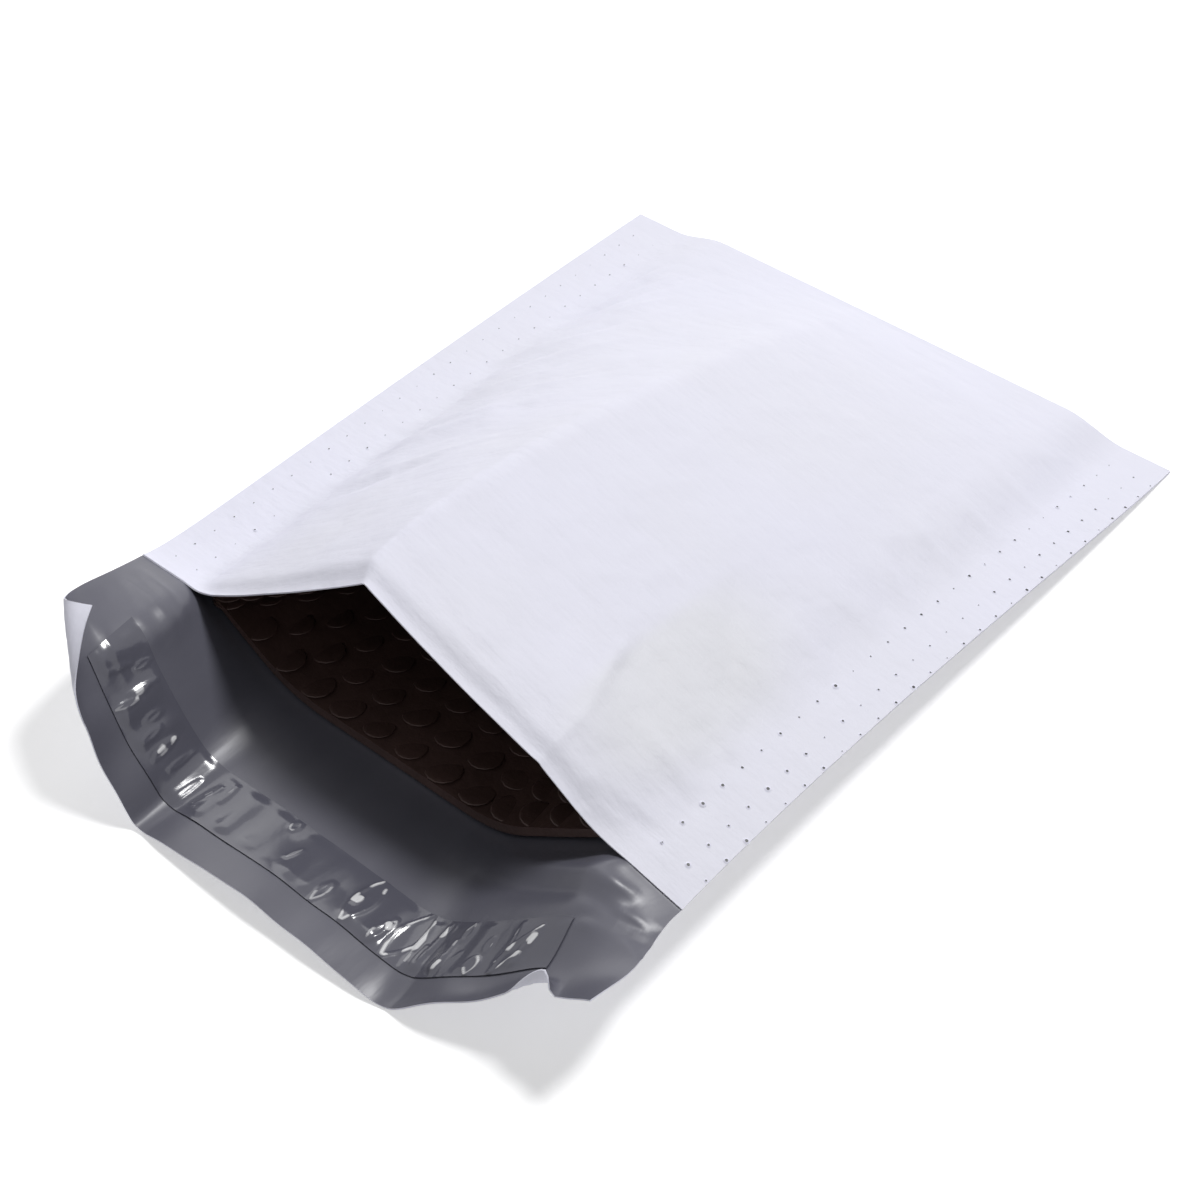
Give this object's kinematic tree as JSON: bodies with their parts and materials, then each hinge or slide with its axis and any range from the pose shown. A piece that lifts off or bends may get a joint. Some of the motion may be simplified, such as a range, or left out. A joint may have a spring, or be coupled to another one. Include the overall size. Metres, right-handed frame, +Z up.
{
  "type": "bubble mailer",
  "caption": "White padded film mailer lying open: welded film pouch with grey inner face, bubble lining, closing lip with glue band and clear peel-off strip.",
  "frame": {"origin": "on the floor under the middle of the bag's outline", "axes": "+X across the bag to the right seen from the mouth, +Y from the lip to the bottom fold, +Z up from the wall it lies on"},
  "size_m": [0.184, 0.2596, 0.0572],
  "materials": {
    "outer_film": "white co-extruded film with a soft sheen, grey on its inner face",
    "bubble_lining": "dark bubble film, smooth and slightly shiny",
    "adhesive": "tacky hot-melt glue",
    "release_liner": "clear glossy rippled strip"
  },
  "bodies": {
    "root": {"outer_film": "outer_film", "bubble_lining": "bubble_lining", "adhesive_band": "adhesive", "release_liner": "release_liner"}
  },
  "joints": []
}
